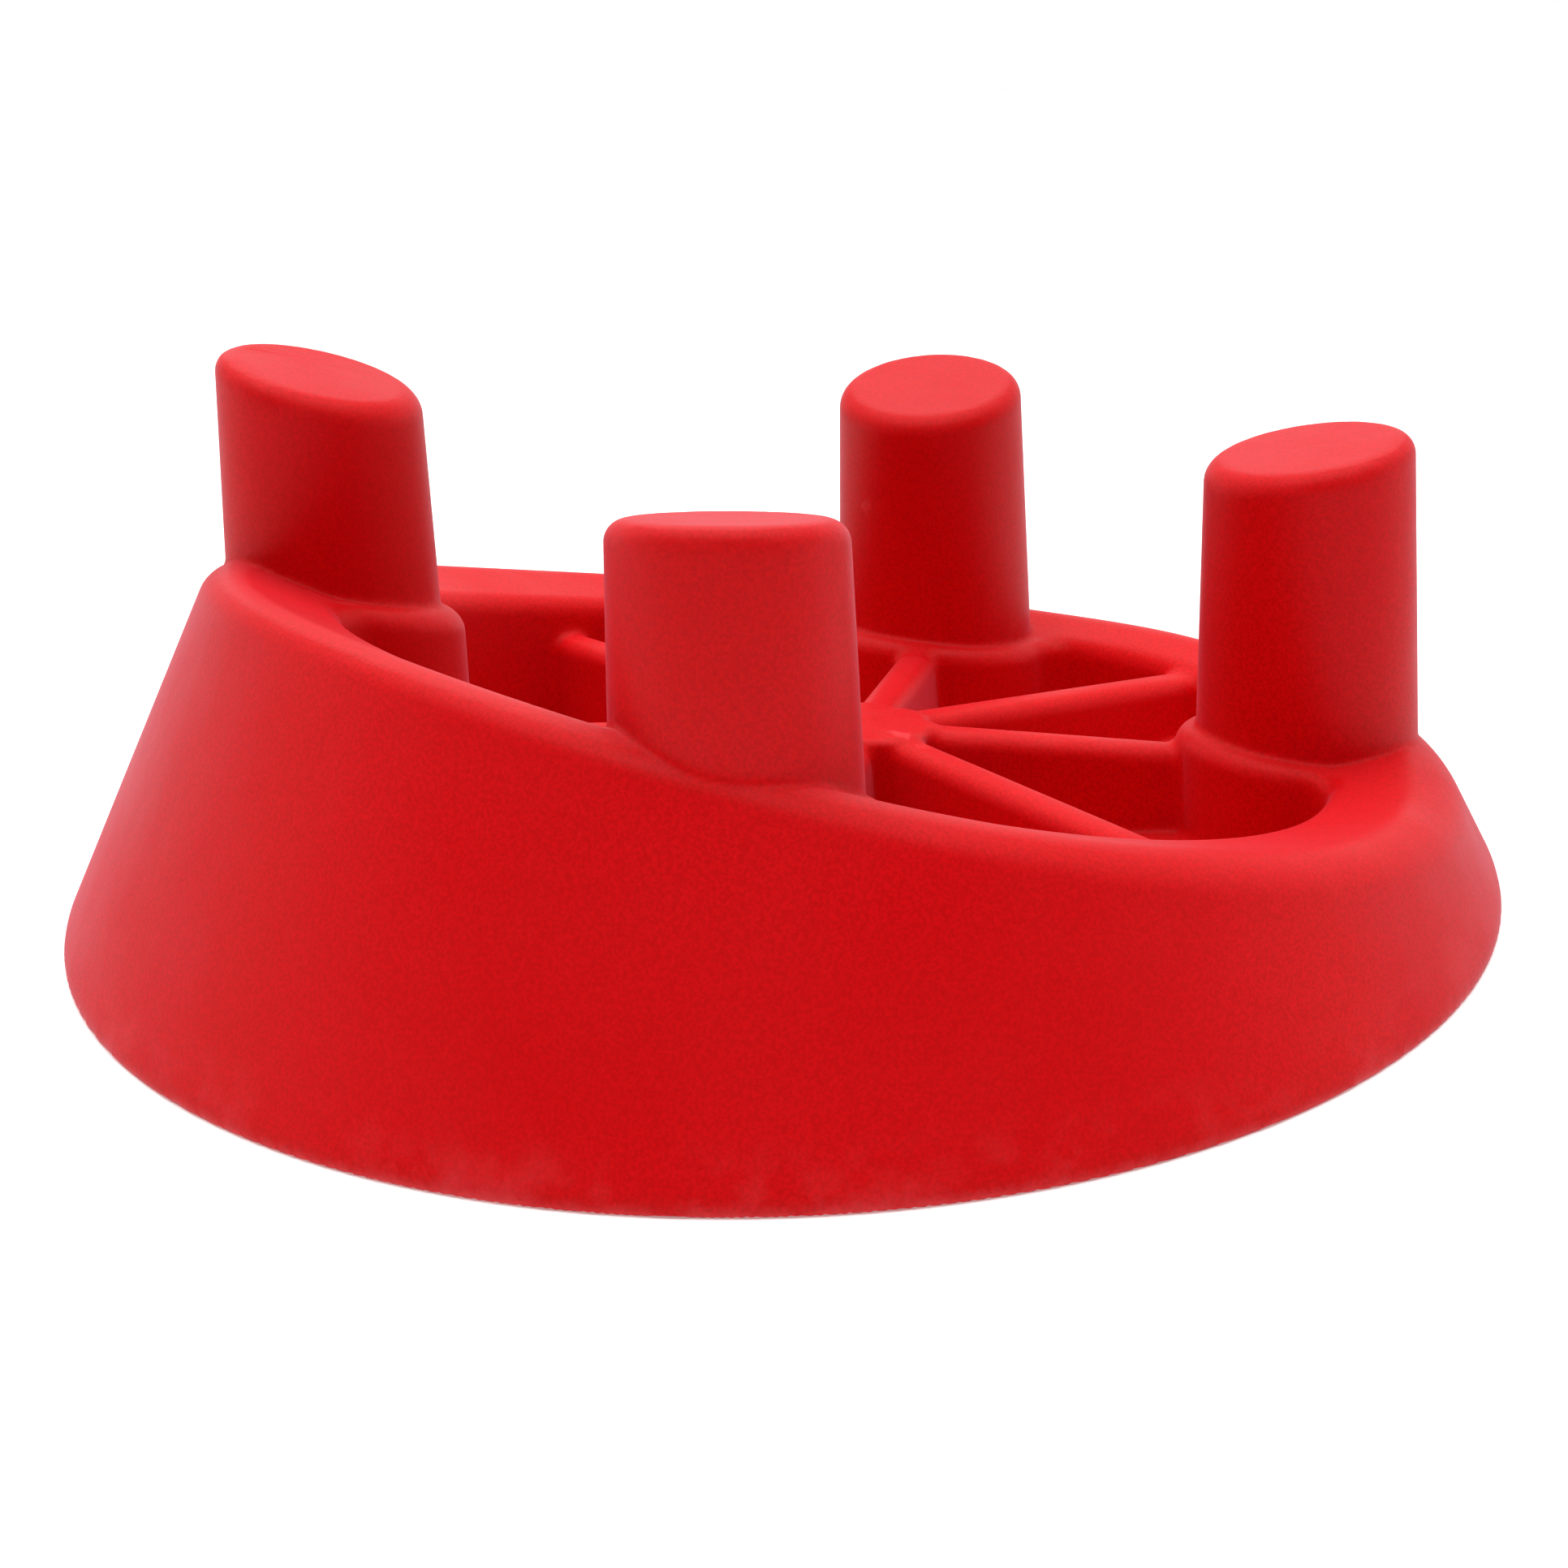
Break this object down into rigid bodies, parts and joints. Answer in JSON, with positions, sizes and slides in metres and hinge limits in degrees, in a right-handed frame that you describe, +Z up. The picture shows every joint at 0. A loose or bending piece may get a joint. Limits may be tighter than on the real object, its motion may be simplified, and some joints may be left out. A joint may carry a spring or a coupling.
{
  "type": "rugby kicking tee",
  "caption": "One-piece moulded rubber kicking tee: round sloping base with a ribbed well and upright posts that hold an oval ball on its end for a place kick",
  "frame": {"origin": "centre of the round foot, on the ground", "axes": "Z up, X towards the low side of the rim, XZ the plane of symmetry"},
  "size_m": [0.165, 0.165, 0.0613],
  "materials": {
    "red_rubber": "satin, fine grain"
  },
  "bodies": {
    "root": {"tee_body": "red_rubber"}
  },
  "joints": []
}
